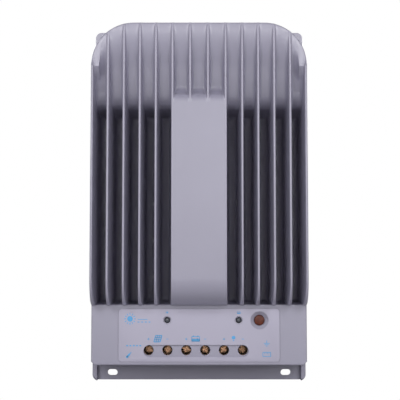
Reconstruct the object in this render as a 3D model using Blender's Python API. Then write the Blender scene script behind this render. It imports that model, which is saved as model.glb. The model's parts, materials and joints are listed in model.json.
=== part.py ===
"""Solar charge controller: a finned die-cast housing with its boards, terminals and fasteners inside.

X is the width, +Z is up, and the front faces -Y. The origin is the middle of the back cover's rear
face. Sizes below are in millimetres. "Rise" is a distance in front of the wall that the unit hangs
on, so a point at (x, rise, z) lies at y = -rise.
"""

import math

import bmesh
import bpy
from mathutils import Matrix, Vector

MM = 0.001
GAP = 0.3  # clearance between neighbouring pieces

# Overall size
FLANGE_WIDTH = 182.0
HEIGHT = 302.5
DEPTH = 63.5

# Shell outline at the front plane; the walls flare towards the back
SHELL_HALF = 88.0
SHELL_TOP = 145.4
SHELL_BOTTOM = -134.2
SHELL_CORNER = 34.7
SHELL_FOOT_CORNER = 3.0
WALL_DRAFT = 0.0333

# Fins and channels
FIN_TIP = 1.8
FIN_PITCH = 13.0
OUTER_FIN = 74.1
CENTRE_FIN = 7.25
WALL_TIP = 2.0
PLATE_HALF = 22.5
FIN_DRAFT = 0.0393
LEAST_FLANK = 6.0
CHANNEL_RISE = 19.0
RAMP_RISE = 48.0
RAMP_START = 86.0
RAMP_END_DROP = 6.0
WALL_FOOT = 74.0
FOLD = 92.0
PLATE_TOP = 80.0
PLATE_STEP = 10.0

# Wiring box below the fins
BOX_RISE = 41.0
TIP_ROUND = DEPTH - BOX_RISE
TIP_ROUND_START = -63.4
BOX_TOP = -85.0
BOX_CHAMFER = 1.5

# Base flange
FLANGE_THICK = 3.0
FLANGE_CORNER = 5.0
LIP_WIDTH = 4.0
LIP_RISE = 10.0
SLOT_LENGTH = 8.6
SLOT_WIDTH = 5.3
SLOT_BOTTOM = (74.45, -145.1)
SLOT_TOP = (80.0, 144.2)

# Inside of the casting
CAVITY_INSET = 5.0
POCKET_INSET = 8.0
CAVITY_RISE = 15.0
TOP_POCKET_RISE = 44.0
CENTRE_POCKET_RISE = 59.0
BOX_POCKET_RISE = 37.5
CAVITY_BOTTOM = -131.0
COVER_THICK = 1.5
REBATE_INSET = 1.0
REBATE_RISE = COVER_THICK + GAP

# Boards
BOARD_RISE = 4.4
BOARD_THICK = 1.6
BOARD_TOP = BOARD_RISE + BOARD_THICK
PART_SEAT = BOARD_TOP + GAP
SMALL_BOARD_RISE = 27.0
SMALL_BOARD_TOP = SMALL_BOARD_RISE + BOARD_THICK
SMALL_SEAT = SMALL_BOARD_TOP + GAP

# Label and what shows through it
LABEL_HALF = 66.3
LABEL_TOP = -88.9
LABEL_BOTTOM = -132.0
LABEL_CORNER = 3.0
LABEL_RECESS = 0.5
LABEL_RISE = BOX_RISE - LABEL_RECESS + GAP
LABEL_THICK = 0.4
LAMP_Z = -98.2
LAMP_PV_X = -26.2
LAMP_BATTERY_X = 32.7
LAMP_HOLE = 3.0
BUTTON_X = 49.7
BUTTON_RADIUS = 4.1
DISH_RADIUS = 7.4
DISH_BALL = 9.64
STRIP_LEFT = -45.7
STRIP_RIGHT = 40.9
STRIP_TOP = -118.3
STRIP_BOTTOM = -128.3
STRIP_RISE = 39.7

# Terminals
POLES = 6
POLE_PITCH = 15.53
POLE_MIDDLE = -2.74
POLE_Z = -122.8
WELL_RADIUS = 4.1
BLOCK_RISE = BOX_POCKET_RISE - GAP
HEAD_TOP = 28.1
HEAD_BOTTOM = 25.5
CHAMBER_LOW = 7.6
CHAMBER_HIGH = 23.4
BAR_LOW = 14.4
BAR_HIGH = 15.8
CAGE_LOW = 7.9
CAGE_HIGH = 18.8
CAGE_WALL = 1.5
CAGE_HALF = 5.5
CAGE_LENGTH = 8.0

# Sockets in the bottom wall
JACK_X = 55.6
PROBE_X = -57.8

COVER_SCREWS = [(side * 78.5, z) for z in (84.0, 0.0, -82.0) for side in (-1, 1)]
BOARD_SCREWS = [(side * 66.0, z) for z in (70.0, -70.0) for side in (-1, 1)]
SMALL_BOARD_SCREWS = [(-38.0, -100.0), (60.5, -100.0)]
ROUND = 20
SMALL_ROUND = 12


def clear_scene():
    for obj in list(bpy.data.objects):
        bpy.data.objects.remove(obj, do_unlink=True)


def material(name, colour, roughness, metallic=0.0):
    found = bpy.data.materials.get(name)
    if found:
        return found
    made = bpy.data.materials.new(name)
    made.use_nodes = True
    shader = made.node_tree.nodes["Principled BSDF"]
    shader.inputs["Base Color"].default_value = (*colour, 1.0)
    shader.inputs["Roughness"].default_value = roughness
    shader.inputs["Metallic"].default_value = metallic
    made.diffuse_color = (*colour, 1.0)
    return made


def paint():
    return material("satin_paint", (0.42, 0.40, 0.47), 0.5, 0.0)


def black_plastic():
    return material("black_plastic", (0.02, 0.02, 0.022), 0.45)


def brass():
    return material("brass", (0.55, 0.37, 0.16), 0.35, 1.0)


def steel():
    return material("steel", (0.55, 0.55, 0.56), 0.35, 1.0)


def point(x, rise, z):
    return Vector((x * MM, -rise * MM, z * MM))


def add(name, bm, finish=None, at=(0.0, 0.0), smooth=False):
    """Makes the object of a finished bmesh, with its origin on the line through (x, z) that runs to the front."""
    bmesh.ops.recalc_face_normals(bm, faces=bm.faces)
    mesh = bpy.data.meshes.new(name)
    bm.to_mesh(mesh)
    bm.free()
    if smooth:
        mesh.shade_smooth()
        mesh.set_sharp_from_angle(angle=math.radians(40))
    obj = bpy.data.objects.new(name, mesh)
    obj.location = point(at[0], 0.0, at[1])
    bpy.context.scene.collection.objects.link(obj)
    if finish:
        mesh.materials.append(finish)
    else:
        obj.hide_render = True
        obj.display_type = "WIRE"
    return obj


def boolean(obj, tool, operation="DIFFERENCE"):
    step = obj.modifiers.new(tool.name, "BOOLEAN")
    step.operation = operation
    step.object = tool
    step.solver = "EXACT"


def add_box(bm, x, rise, z):
    """A box between two values on each axis."""
    size = [(b - a) * MM for a, b in (x, rise, z)]
    middle = point((x[0] + x[1]) / 2, (rise[0] + rise[1]) / 2, (z[0] + z[1]) / 2)
    matrix = Matrix.Translation(middle) @ Matrix.Diagonal((*size, 1.0))
    bmesh.ops.create_cube(bm, size=1.0, matrix=matrix)


def box(name, x, rise, z, finish=None, at=(0.0, 0.0)):
    bm = bmesh.new()
    add_box(bm, x, rise, z)
    return add(name, bm, finish, at)


def add_loft(bm, rings):
    """A solid through rings of points, each ring with the same number of points, closed by its first and last."""
    loops = [[bm.verts.new(p) for p in ring] for ring in rings]
    count = len(loops[0])
    for lower, upper in zip(loops, loops[1:]):
        for i in range(count):
            j = (i + 1) % count
            bm.faces.new((lower[i], lower[j], upper[j], upper[i]))
    bm.faces.new(loops[0][::-1])
    bm.faces.new(loops[-1])


def add_turned(bm, profile, x=0.0, z=0.0, sides=ROUND):
    """A solid turned about the line through (x, z) that runs to the front, from (radius, rise) points."""
    rings = []
    for radius, rise in profile:
        ring = []
        for i in range(sides):
            turn = 2 * math.pi * i / sides
            ring.append(point(x + radius * math.cos(turn), rise, z + radius * math.sin(turn)))
        rings.append(ring)
    add_loft(bm, rings)


def turned(name, profile, finish=None, at=(0.0, 0.0), sides=ROUND):
    bm = bmesh.new()
    add_turned(bm, profile, sides=sides)
    return add(name, bm, finish, at, smooth=True)


def arc(x, z, radius, start, end, steps):
    """Points of an arc, with its angles in degrees."""
    turns = [math.radians(start + (end - start) * i / steps) for i in range(steps + 1)]
    return [(x + radius * math.cos(t), z + radius * math.sin(t)) for t in turns]


def rounded_outline(half, bottom, top, foot_corner, head_corner, foot_steps=4, head_steps=12):
    """An upright rectangle with round corners, one radius at the foot and one at the head."""
    points = arc(half - head_corner, top - head_corner, head_corner, 0, 90, head_steps)
    points += arc(-half + head_corner, top - head_corner, head_corner, 90, 180, head_steps)
    points += arc(-half + foot_corner, bottom + foot_corner, foot_corner, 180, 270, foot_steps)
    points += arc(half - foot_corner, bottom + foot_corner, foot_corner, 270, 360, foot_steps)
    return points


def shell_outline(grow, bottom=None):
    """The shell's outline, grown outwards by a distance."""
    foot = SHELL_BOTTOM - grow if bottom is None else bottom
    corner = SHELL_CORNER + grow
    foot_corner = SHELL_FOOT_CORNER
    return rounded_outline(SHELL_HALF + grow, foot, SHELL_TOP + grow, foot_corner, corner)


def add_prism(bm, outline, low, high):
    add_loft(bm, [[point(x, rise, z) for x, z in outline] for rise in (low, high)])


def prism(name, outline, low, high, finish=None):
    bm = bmesh.new()
    add_prism(bm, outline, low, high)
    return add(name, bm, finish)


def slot_outline(left, right, bottom, top, steps=6):
    """A flat slot with round ends."""
    radius = (top - bottom) / 2
    middle = (top + bottom) / 2
    ends = arc(right - radius, middle, radius, -90, 90, steps)
    return ends + arc(left + radius, middle, radius, 90, 270, steps)


# The casting's front: fins, channels, ramps, centre plate and wiring box


def tip_rise(z):
    """How far forward the fins and the box face stand at a height."""
    chamfer_top = SHELL_BOTTOM + BOX_CHAMFER / 2
    if z >= TIP_ROUND_START:
        return DEPTH
    if z > TIP_ROUND_START - TIP_ROUND:
        return BOX_RISE + math.sqrt(TIP_ROUND**2 - (z - TIP_ROUND_START) ** 2)
    if z >= chamfer_top:
        return BOX_RISE
    return BOX_RISE - (chamfer_top - z)


def ramp_rise(z):
    """The shallow upper floor of a channel, which climbs to the front plane near the shell's top."""
    share = (z - RAMP_START) / (SHELL_TOP - RAMP_END_DROP - RAMP_START)
    return RAMP_RISE + (DEPTH - RAMP_RISE) * max(0.0, min(1.0, share))


def channel_rise(z, in_plate):
    """The floor of a channel. Over the centre plate the channels stop where the plate begins."""
    if z >= (PLATE_TOP + PLATE_STEP if in_plate else RAMP_START):
        return ramp_rise(z)
    if in_plate:
        part = max(0.0, min(1.0, (z - PLATE_TOP) / PLATE_STEP))
        drop = (DEPTH - ramp_rise(PLATE_TOP + PLATE_STEP)) * part**2.5
        return tip_rise(z) - drop
    if z > WALL_FOOT:
        return CHANNEL_RISE + (RAMP_RISE - CHANNEL_RISE) * (z - WALL_FOOT) / (RAMP_START - WALL_FOOT)
    if z > BOX_TOP:
        return CHANNEL_RISE
    return tip_rise(z)


def fin_places():
    """Middles of the fins right of centre, from the outermost inwards."""
    outer = [OUTER_FIN - FIN_PITCH * i for i in range(4)]
    return outer + [PLATE_HALF - FIN_TIP / 2, CENTRE_FIN]


def channel_edges():
    """The pairs of fin edges, at the front plane, that the channels lie between, from left to right."""
    right = sorted(fin_places())
    fins = [-x for x in reversed(right)] + right
    starts = [-SHELL_HALF + WALL_TIP] + [x + FIN_TIP / 2 for x in fins]
    ends = [x - FIN_TIP / 2 for x in fins] + [SHELL_HALF - WALL_TIP]
    return list(zip(starts, ends))


def front_columns():
    """Each column of the front: its place at the front plane, which way its flank leans, and its kind."""
    columns = [(-SHELL_HALF - 8.0, 0, "tip")]
    for start, end in channel_edges():
        kind = "plate" if max(abs(start), abs(end)) <= PLATE_HALF else "open"
        columns += [(start, 1, "tip"), (start, 1, kind), (end, -1, kind), (end, -1, "tip")]
    return columns + [(SHELL_HALF + 8.0, 0, "tip")]


def front_heights():
    """The heights at which the front changes."""
    rounding = [
        TIP_ROUND_START - TIP_ROUND * math.sin(math.radians(90 * i / 6)) for i in range(7)
    ]
    ramp_end = SHELL_TOP - RAMP_END_DROP
    ramp = [FOLD + (ramp_end - FOLD) * i / 3 for i in range(4)]
    step = [PLATE_TOP + PLATE_STEP * i / 5 for i in range(6)]
    foot = [-HEIGHT / 2 - 3.0, SHELL_BOTTOM + BOX_CHAMFER / 2]
    places = foot + [BOX_TOP, BOX_TOP + 1.0] + rounding + [WALL_FOOT, RAMP_START] + step + ramp
    return sorted(set(places)) + [SHELL_TOP + 12.0]


def ramp_top_at(x):
    """Where a ramp meets the front plane: on an outline that stays a constant distance inside the shell's."""
    radius = SHELL_CORNER - RAMP_END_DROP
    beyond = min(max(0.0, abs(x) - (SHELL_HALF - SHELL_CORNER)), radius)
    return SHELL_TOP - SHELL_CORNER + math.sqrt(radius**2 - beyond**2)


def folded(x, z):
    """A height near the top, lowered so that the ramps follow the shell's round corners."""
    if z <= FOLD:
        return z
    ramp_end = SHELL_TOP - RAMP_END_DROP
    if z > ramp_end:
        return z
    share = (z - FOLD) / (ramp_end - FOLD)
    return FOLD + share * (ramp_top_at(x) - FOLD)


def front_point(column, z):
    x, lean, kind = column
    tip = tip_rise(z)
    floor = channel_rise(z, kind == "plate") if kind != "tip" else tip
    rise = min(floor, tip)
    depth = DEPTH - tip if kind == "tip" else DEPTH - min(rise, tip - LEAST_FLANK)
    if kind == "plate" and rise >= tip:
        depth = DEPTH - tip + LEAST_FLANK
    return point(x + lean * FIN_DRAFT * depth, rise, folded(x, z))


def front_form():
    """A solid whose front has every fin and channel, larger all round than the shell."""
    bm = bmesh.new()
    columns, heights = front_columns(), front_heights()
    grid = [[bm.verts.new(front_point(column, z)) for column in columns] for z in heights]
    for lower, upper in zip(grid, grid[1:]):
        for i in range(len(columns) - 1):
            bm.faces.new((lower[i], lower[i + 1], upper[i + 1], upper[i]))
    rim = grid[0] + [row[-1] for row in grid[1:]] + grid[-1][-2::-1] + [row[0] for row in grid[-2:0:-1]]
    back = [bm.verts.new((v.co.x, 5.0 * MM, v.co.z)) for v in rim]
    count = len(rim)
    for i in range(count):
        j = (i + 1) % count
        bm.faces.new((rim[i], back[i], back[j], rim[j]))
    bm.faces.new(back)
    return bm


def shell_form():
    """The flared shell outline and the base flange with its lips, as one tool."""
    bm = bmesh.new()
    rings = []
    for rise in (0.0, DEPTH + 1.0):
        outline = shell_outline(WALL_DRAFT * (DEPTH - rise))
        rings.append([point(x, rise, z) for x, z in outline])
    add_loft(bm, rings)
    shell = add("shell_form", bm)
    half = FLANGE_WIDTH / 2
    plate = rounded_outline(half, -HEIGHT / 2, HEIGHT / 2, FLANGE_CORNER, FLANGE_CORNER, 4, 4)
    flange = prism("flange_form", plate, 0.0, FLANGE_THICK)
    boolean(shell, flange, "UNION")
    for side in (-1, 1):
        edges = sorted((side * (half + 1.0), side * (half - LIP_WIDTH)))
        lip = box(f"lip_form_{side}", edges, (1.0, LIP_RISE), (-HEIGHT / 2 - 1.0, SHELL_BOTTOM + 2.0))
        trim = prism(f"lip_trim_{side}", plate, 0.0, LIP_RISE + 1.0)
        boolean(lip, trim, "INTERSECT")
        boolean(shell, lip, "UNION")
    return shell


def floor_pads():
    """The small round pads on the channel floors."""
    bm = bmesh.new()
    for x, z in ((-39.7, -0.9), (-39.7, -32.1), (-39.7, -62.5), (32.7, -0.9), (32.7, -16.4), (32.7, -45.0)):
        add_turned(bm, [(2.2, CHANNEL_RISE - 2.0), (2.2, CHANNEL_RISE + 1.2)], x, z, SMALL_ROUND)
    return add("floor_pads", bm)


def wide_cavity():
    """The low cavity behind the whole front, with posts left standing for the cover's and board's screws."""
    outline = shell_outline(-CAVITY_INSET, CAVITY_BOTTOM)
    cavity = prism("wide_cavity", outline, -1.0, CAVITY_RISE)
    bm = bmesh.new()
    for x, z in COVER_SCREWS:
        add_turned(bm, [(4.5, REBATE_RISE), (4.5, CAVITY_RISE + 3.0)], x, z, 16)
    for x, z in BOARD_SCREWS:
        add_turned(bm, [(3.5, PART_SEAT), (3.5, CAVITY_RISE + 3.0)], x, z, SMALL_ROUND)
    boolean(cavity, add("cavity_posts", bm))
    return cavity


def deep_pockets():
    """The deeper pockets: chokes at the top, capacitors behind the plate, wiring at the bottom."""
    low = CAVITY_RISE - 4.0
    corner = SHELL_CORNER - POCKET_INSET
    top = rounded_outline(SHELL_HALF - POCKET_INSET, 92.0, SHELL_TOP - POCKET_INSET, 3.0, corner)
    pockets = [prism("top_pocket", top, low, TOP_POCKET_RISE)]
    pockets.append(box("centre_pocket", (-18.0, 18.0), (low, CENTRE_POCKET_RISE), (-64.0, 76.0)))
    wiring = box("box_pocket", (-84.0, 84.0), (low, BOX_POCKET_RISE), (CAVITY_BOTTOM, -89.5))
    bm = bmesh.new()
    for x, z in SMALL_BOARD_SCREWS:
        add_turned(bm, [(3.0, SMALL_SEAT), (3.0, BOX_POCKET_RISE + 2.0)], x, z, SMALL_ROUND)
    boolean(wiring, add("box_posts", bm))
    return pockets + [wiring]


def cover_rebate():
    outline = shell_outline(-REBATE_INSET, SHELL_BOTTOM)
    return prism("cover_rebate", outline, -1.0, REBATE_RISE)


def screw_holes():
    """The threaded holes of all the screws that go into the casting."""
    bm = bmesh.new()
    for x, z in COVER_SCREWS:
        add_turned(bm, [(1.75, REBATE_RISE - 1.0), (1.75, 11.0)], x, z, SMALL_ROUND)
    for x, z in BOARD_SCREWS:
        add_turned(bm, [(1.75, PART_SEAT - 1.0), (1.75, 13.0)], x, z, SMALL_ROUND)
    for x, z in SMALL_BOARD_SCREWS:
        add_turned(bm, [(1.5, SMALL_SEAT - 1.0), (1.5, 36.0)], x, z, SMALL_ROUND)
    return add("screw_holes", bm)


def mounting_slots():
    bm = bmesh.new()
    for x, z in (SLOT_BOTTOM, SLOT_TOP):
        for side in (-1, 1):
            middle = side * x
            outline = slot_outline(
                middle - SLOT_LENGTH / 2, middle + SLOT_LENGTH / 2, z - SLOT_WIDTH / 2, z + SLOT_WIDTH / 2
            )
            add_prism(bm, outline, -1.0, FLANGE_THICK + 2.0)
    return add("mounting_slots", bm)


def pole_places():
    return [POLE_MIDDLE + POLE_PITCH * (i - (POLES - 1) / 2) for i in range(POLES)]


def label_recess():
    outline = rounded_outline(
        LABEL_HALF + GAP, LABEL_BOTTOM - GAP, LABEL_TOP + GAP, LABEL_CORNER, LABEL_CORNER, 4, 4
    )
    return prism("label_recess", outline, BOX_RISE - LABEL_RECESS, BOX_RISE + 1.0)


def strip_recess():
    outline = slot_outline(STRIP_LEFT, STRIP_RIGHT, STRIP_BOTTOM, STRIP_TOP)
    return prism("strip_recess", outline, STRIP_RISE, BOX_RISE + 1.0)


def front_holes():
    """The screwdriver wells, the lamp holes and the button's hole through the box face."""
    bm = bmesh.new()
    low, high = BOX_POCKET_RISE - 1.0, BOX_RISE + 1.0
    for x in pole_places():
        add_turned(bm, [(WELL_RADIUS, low), (WELL_RADIUS, high)], x, POLE_Z)
    for x in (LAMP_PV_X, LAMP_BATTERY_X):
        add_turned(bm, [(LAMP_HOLE, low), (LAMP_HOLE, high)], x, LAMP_Z)
    radius = BUTTON_RADIUS + 0.35
    add_turned(bm, [(radius, low), (radius, high)], BUTTON_X, LAMP_Z)
    return add("front_holes", bm)


def button_dish():
    """The round hollow around the button, cut by a ball."""
    drop = math.sqrt(DISH_BALL**2 - DISH_RADIUS**2)
    profile = [(0.02, BOX_RISE + drop - DISH_BALL)]
    for i in range(1, 9):
        turn = math.radians(90 * i / 8)
        profile.append((DISH_BALL * math.sin(turn), BOX_RISE + drop - DISH_BALL * math.cos(turn)))
    profile.append((DISH_BALL, BOX_RISE + drop + 3.0))
    return turned("button_dish", profile, at=(BUTTON_X, LAMP_Z), sides=24)


def bottom_openings():
    """The wire entries and the two socket openings in the bottom wall."""
    bm = bmesh.new()
    wall = (SHELL_BOTTOM - 6.0, CAVITY_BOTTOM + 1.0)
    for x in pole_places():
        add_box(bm, (x - 5.2, x + 5.2), (8.2, 15.8), wall)
    add_box(bm, (JACK_X - 7.0, JACK_X + 7.0), (7.2, 18.8), wall)
    add_box(bm, (PROBE_X - 4.6, PROBE_X + 4.6), (7.2, 14.8), wall)
    return add("bottom_openings", bm)


def heatsink_housing():
    housing = add("heatsink_housing", front_form(), paint())
    boolean(housing, shell_form(), "INTERSECT")
    boolean(housing, floor_pads(), "UNION")
    cutters = [wide_cavity(), *deep_pockets(), cover_rebate(), screw_holes(), mounting_slots()]
    cutters += [label_recess(), strip_recess(), button_dish(), front_holes(), bottom_openings()]
    for cutter in cutters:
        boolean(housing, cutter)


# Covers, boards and what is on them


def back_cover():
    inset = REBATE_INSET + GAP
    outline = shell_outline(-inset, SHELL_BOTTOM + GAP)
    cover = prism("back_cover", outline, 0.0, COVER_THICK, steel())
    bm = bmesh.new()
    for x, z in COVER_SCREWS:
        add_turned(bm, [(3.5, -0.2), (1.9, COVER_THICK - 0.1), (1.9, COVER_THICK + 1.0)], x, z, 16)
    boolean(cover, add("cover_screw_holes", bm))


def front_label():
    outline = rounded_outline(
        LABEL_HALF, LABEL_BOTTOM, LABEL_TOP, LABEL_CORNER, LABEL_CORNER, 4, 4
    )
    finish = material("label_film", (0.46, 0.43, 0.53), 0.4)
    label = prism("front_label", outline, LABEL_RISE, LABEL_RISE + LABEL_THICK, finish)
    bm = bmesh.new()
    low, high = LABEL_RISE - 1.0, LABEL_RISE + LABEL_THICK + 1.0
    for x in (LAMP_PV_X, LAMP_BATTERY_X):
        add_turned(bm, [(LAMP_HOLE + 0.2, low), (LAMP_HOLE + 0.2, high)], x, LAMP_Z)
    add_turned(bm, [(DISH_RADIUS + 0.1, low), (DISH_RADIUS + 0.1, high)], BUTTON_X, LAMP_Z, 24)
    add_prism(bm, slot_outline(STRIP_LEFT, STRIP_RIGHT, STRIP_BOTTOM, STRIP_TOP), low, high)
    boolean(label, add("label_holes", bm))


def screw_mesh(name, profile, finish, slots):
    """A turned screw with its driver slots cut in, as one mesh that its copies share."""
    screw = turned(name, profile, finish, sides=16)
    bm = bmesh.new()
    for x, rise, z in slots:
        add_box(bm, x, rise, z)
    tool = add(name + "_slots", bm)
    boolean(screw, tool)
    screw.modifiers[-1].use_self = True
    view = bpy.context.evaluated_depsgraph_get()
    mesh = bpy.data.meshes.new_from_object(screw.evaluated_get(view))
    mesh.name = name
    for obj in (screw, tool):
        bpy.data.objects.remove(obj, do_unlink=True)
    return mesh


def place_copies(name, mesh, places):
    """One object of a shared mesh at each (x, z) place."""
    for i, (x, z) in enumerate(places, 1):
        copy = bpy.data.objects.new(f"{name}_{i}", mesh)
        copy.location = point(x, 0.0, z)
        bpy.context.scene.collection.objects.link(copy)


def cover_screws():
    profile = [(2.9, 0.05), (2.9, 0.2), (1.4, 1.7), (1.4, 8.5)]
    cross = [((-1.6, 1.6), (-1.0, 0.9), (-0.35, 0.35)), ((-0.35, 0.35), (-1.0, 0.9), (-1.6, 1.6))]
    place_copies("cover_screw", screw_mesh("cover_screw", profile, steel(), cross), COVER_SCREWS)


def board_screws():
    head = BOARD_RISE - GAP
    profile = [(2.4, head - 1.8), (2.7, head - 1.4), (2.7, head), (1.4, head), (1.4, 12.0)]
    slot = [((-2.0, 2.0), (0.0, head - 0.9), (-0.4, 0.4))]
    place_copies("board_screw", screw_mesh("board_screw", profile, steel(), slot), BOARD_SCREWS)


def indicator_screws():
    head = SMALL_BOARD_RISE - GAP
    profile = [(2.0, head - 1.6), (2.3, head - 1.2), (2.3, head), (1.15, head), (1.15, 35.0)]
    slot = [((-1.7, 1.7), (20.0, head - 0.8), (-0.35, 0.35))]
    mesh = screw_mesh("indicator_screw", profile, steel(), slot)
    place_copies("indicator_screw", mesh, SMALL_BOARD_SCREWS)


def main_board():
    finish = material("circuit_board", (0.02, 0.12, 0.05), 0.5)
    board = box("main_board", (-73.0, 73.0), (BOARD_RISE, BOARD_TOP), (-129.5, 132.0), finish)
    bm = bmesh.new()
    for x, z in BOARD_SCREWS:
        add_turned(bm, [(1.75, BOARD_RISE - 1.0), (1.75, BOARD_TOP + 1.0)], x, z, SMALL_ROUND)
    boolean(board, add("board_holes", bm))


def indicator_board():
    finish = material("circuit_board", (0.02, 0.12, 0.05), 0.5)
    rise = (SMALL_BOARD_RISE, SMALL_BOARD_TOP)
    board = box("indicator_board", (-42.5, 65.0), rise, (-105.0, -91.5), finish)
    bm = bmesh.new()
    for x, z in SMALL_BOARD_SCREWS:
        hole = [(1.45, SMALL_BOARD_RISE - 1.0), (1.45, SMALL_BOARD_TOP + 1.0)]
        add_turned(bm, hole, x, z, SMALL_ROUND)
    boolean(board, add("indicator_board_holes", bm))


def lamp(name, x):
    """A round lamp on two legs, with a domed end just behind the box face."""
    top = BOX_RISE - 1.2
    profile = [(2.9, 31.2), (2.9, 32.2), (2.45, 32.2), (2.45, top - 2.4)]
    for i in range(1, 6):
        turn = math.radians(18 * i - (3 if i == 5 else 0))
        profile.append((2.45 * math.cos(turn), top - 2.4 + 2.4 * math.sin(turn)))
    finish = material("lamp_lens", (0.12, 0.12, 0.15), 0.15)
    lens = turned(name, profile, finish, at=(x, LAMP_Z), sides=16)
    bm = bmesh.new()
    for side in (-1, 1):
        leg = side * 1.27
        add_box(bm, (x + leg - 0.25, x + leg + 0.25), (SMALL_SEAT, 31.6), (LAMP_Z - 0.25, LAMP_Z + 0.25))
    boolean(lens, add(name + "_legs", bm), "UNION")


def button():
    """The cap, the switch that it presses and the switch's plunger, which moves with the cap."""
    low = 33.0
    cap = [(2.0, low), (2.0, 35.4), (5.0, 35.4), (5.0, 36.9), (BUTTON_RADIUS, 36.9)]
    cap += [(BUTTON_RADIUS, 39.7), (BUTTON_RADIUS - 0.4, 40.2), (BUTTON_RADIUS - 1.2, 40.4), (0.6, 40.5)]
    finish = material("button_plastic", (0.09, 0.02, 0.009), 0.3)
    turned("button_cap", cap, finish, at=(BUTTON_X, LAMP_Z), sides=24)
    plunger = [(1.7, 31.2), (1.7, low - GAP)]
    turned("switch_plunger", plunger, black_plastic(), at=(BUTTON_X, LAMP_Z), sides=16)
    x, z = (BUTTON_X - 3.0, BUTTON_X + 3.0), (LAMP_Z - 3.0, LAMP_Z + 3.0)
    switch = box("tact_switch", x, (SMALL_SEAT, 32.0), z, black_plastic())
    bore = turned("switch_bore", [(2.05, 30.4), (2.05, 33.0)], at=(BUTTON_X, LAMP_Z), sides=16)
    boolean(switch, bore)


def board_header():
    box("board_header", (2.0, 17.0), (PART_SEAT, SMALL_BOARD_RISE - GAP), (-100.7, -95.7), black_plastic())


def capacitors():
    finish = material("sleeve", (0.03, 0.04, 0.09), 0.35)
    top = PART_SEAT + 40.0
    profile = [(12.0, PART_SEAT), (12.5, PART_SEAT + 0.6), (12.5, PART_SEAT + 2.6), (11.9, PART_SEAT + 3.4)]
    profile += [(12.5, PART_SEAT + 4.2), (12.5, top - 0.7), (11.8, top)]
    for i in range(3):
        turned(f"capacitor_{i + 1}", profile, finish, at=(0.0, -44.0 + 30.0 * i))


def inductors():
    """Two ring-shaped chokes lying flat in the top pocket."""
    finish = material("copper_winding", (0.45, 0.16, 0.06), 0.35, 0.6)
    middle, half = 20.5, 11.5
    for i, x in enumerate((-38.0, 38.0), 1):
        bm = bmesh.new()
        outer, inner, round_off = 20.5, 8.5, 3.5
        section = [(outer - round_off, half), (outer, half - round_off), (outer, round_off - half)]
        section += [(outer - round_off, -half), (inner + round_off, -half), (inner, round_off - half)]
        section += [(inner, half - round_off), (inner + round_off, half)]
        loops = []
        sides = 28
        for k in range(sides):
            turn = 2 * math.pi * k / sides
            loop = [point(r * math.cos(turn), middle + s, r * math.sin(turn)) for r, s in section]
            loops.append([bm.verts.new(p) for p in loop])
        for k in range(sides):
            here, there = loops[k], loops[(k + 1) % sides]
            for j in range(len(section)):
                nxt = (j + 1) % len(section)
                bm.faces.new((here[j], here[nxt], there[nxt], there[j]))
        add(f"inductor_{i}", bm, finish, at=(x, 113.0), smooth=True)


def power_stage():
    """The power switches, held flat against the casting by a bar on each side of the centre plate."""
    pad_finish = material("grey_silicone", (0.35, 0.36, 0.38), 0.8)
    pad_top = CAVITY_RISE - GAP
    switch_top = pad_top - 0.5 - GAP
    switch_low = switch_top - 4.5
    bar_top = switch_low - GAP
    number = 0
    for side, word in ((-1, "left"), (1, "right")):
        x = side * 50.0
        box(f"thermal_pad_{word}", (x - 10.0, x + 10.0), (pad_top - 0.5, pad_top), (-36.0, 36.0), pad_finish)
        box(f"clamp_bar_{word}", (x - 4.0, x + 4.0), (PART_SEAT, bar_top), (-34.0, 34.0), steel())
        for z in (-18.0, 18.0):
            number += 1
            ends = (z - 5.1, z + 5.1)
            body = box(f"mosfet_{number}", (x - 7.5, x + 7.5), (switch_low, switch_top), ends, black_plastic())
            bm = bmesh.new()
            outer = x + side * 7.4
            for leg in (-2.54, 0.0, 2.54):
                along = sorted((outer - side * 1.0, outer + side * 2.0))
                down = sorted((outer + side * 1.2, outer + side * 2.0))
                across = (z + leg - 0.4, z + leg + 0.4)
                add_box(bm, along, (switch_low + 1.0, switch_low + 1.8), across)
                add_box(bm, down, (PART_SEAT, switch_low + 1.4), across)
            legs = add(f"mosfet_legs_{number}", bm)
            boolean(body, legs, "UNION")
            body.modifiers[-1].use_self = True


def control_chip():
    box("control_chip", (-6.0, 6.0), (PART_SEAT, PART_SEAT + 1.4), (-84.0, -72.0), black_plastic())


def sockets():
    """The data jack and the probe socket behind the bottom wall."""
    z = (CAVITY_BOTTOM + GAP, CAVITY_BOTTOM + GAP + 18.0)
    mouth = CAVITY_BOTTOM - 1.0
    jack = box("com_jack", (JACK_X - 7.9, JACK_X + 7.9), (PART_SEAT, 19.8), z, black_plastic())
    bm = bmesh.new()
    add_box(bm, (JACK_X - 5.9, JACK_X + 5.9), (9.0, 16.8), (mouth, CAVITY_BOTTOM + 14.0))
    boolean(jack, add("jack_mouth", bm))
    z = (CAVITY_BOTTOM + GAP, CAVITY_BOTTOM + GAP + 9.2)
    finish = material("green_plastic", (0.02, 0.2, 0.06), 0.4)
    probe = box("probe_socket", (PROBE_X - 5.4, PROBE_X + 5.4), (PART_SEAT, 15.4), z, finish)
    bm = bmesh.new()
    add_box(bm, (PROBE_X - 3.9, PROBE_X + 3.9), (8.2, 13.4), (mouth, CAVITY_BOTTOM + 8.0))
    boolean(probe, add("probe_mouth", bm))


# Terminals


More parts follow.
